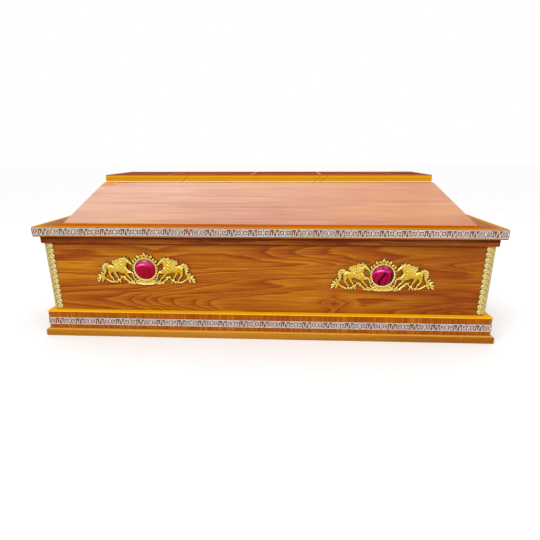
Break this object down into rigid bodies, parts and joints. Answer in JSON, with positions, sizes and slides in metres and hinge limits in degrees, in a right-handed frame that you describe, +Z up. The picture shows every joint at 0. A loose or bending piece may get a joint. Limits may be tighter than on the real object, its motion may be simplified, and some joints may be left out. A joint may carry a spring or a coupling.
{
  "type": "wooden coffin",
  "caption": "Hollow veneered wooden coffin with a stepped plinth, a hipped lift-off lid, fret inlay bands, gilt corner angles and gilt fittings with domed red stones.",
  "frame": {"origin": "middle of the underside of the foot moulding, on the floor", "axes": "+Z up, +X along the length towards the foot end, -Y towards the front long side"},
  "size_m": [2.206, 0.706, 0.785],
  "materials": {
    "chest_veneer": "glossy lacquered cathedral-grain veneer",
    "plinth_veneer": "glossy lacquered veneer, grain upright",
    "cornice_wood": "dark lacquered wood",
    "amber_edge": "amber lacquered solid edging",
    "foot_wood": "amber-brown lacquered moulding",
    "ledge_wood": "high-gloss brown lacquer",
    "slope_veneer": "pale salmon veneer, lacquered",
    "cap_wood": "glossy brown lacquer",
    "raw_board": "plain unlacquered board",
    "shell_band": "silvery shell-like fret on brown ground",
    "pale_gilt": "pale bright gilt, pressed relief",
    "yellow_gilt": "bright yellow gilt, cast relief",
    "ruby_stone": "ruby-red polished domed resin"
  },
  "bodies": {
    "root": {"bottom_board": "raw_board", "side_board_front": "chest_veneer", "side_board_back": "chest_veneer", "end_board_head": "chest_veneer", "end_board_foot": "chest_veneer", "cap_board": "cap_wood", "foot_moulding_front": "foot_wood", "foot_moulding_back": "foot_wood", "foot_moulding_head": "foot_wood", "foot_moulding_foot": "foot_wood", "plinth_board_front": "plinth_veneer", "plinth_board_back": "plinth_veneer", "plinth_board_head": "plinth_veneer", "plinth_board_foot": "plinth_veneer", "plinth_cap_front": "amber_edge", "plinth_cap_back": "amber_edge", "plinth_cap_head": "amber_edge", "plinth_cap_foot": "amber_edge", "plinth_band_front": "shell_band", "plinth_band_back": "shell_band", "plinth_band_head": "shell_band", "plinth_band_foot": "shell_band", "cornice_front": "cornice_wood", "cornice_back": "cornice_wood", "cornice_head": "cornice_wood", "cornice_foot": "cornice_wood", "lid_rim_front": "amber_edge", "lid_rim_back": "amber_edge", "lid_rim_head": "amber_edge", "lid_rim_foot": "amber_edge", "lid_band_front": "shell_band", "lid_band_back": "shell_band", "lid_band_head": "shell_band", "lid_band_foot": "shell_band", "lid_frame_front": "ledge_wood", "lid_frame_back": "ledge_wood", "lid_frame_head": "ledge_wood", "lid_frame_foot": "ledge_wood", "lid_slope_front": "slope_veneer", "lid_slope_back": "slope_veneer", "lid_slope_head": "slope_veneer", "lid_slope_foot": "slope_veneer", "cap_edge_front": "amber_edge", "cap_edge_back": "amber_edge", "cap_edge_head": "amber_edge", "cap_edge_foot": "amber_edge", "corner_angle_front_head": "pale_gilt", "corner_angle_front_foot": "pale_gilt", "corner_angle_back_head": "pale_gilt", "corner_angle_back_foot": "pale_gilt", "fitting_front_left": "yellow_gilt", "fitting_front_right": "yellow_gilt", "fitting_back_left": "yellow_gilt", "fitting_back_right": "yellow_gilt", "stone_front_left": "ruby_stone", "stone_front_right": "ruby_stone", "stone_back_left": "ruby_stone", "stone_back_right": "ruby_stone"}
  },
  "joints": []
}
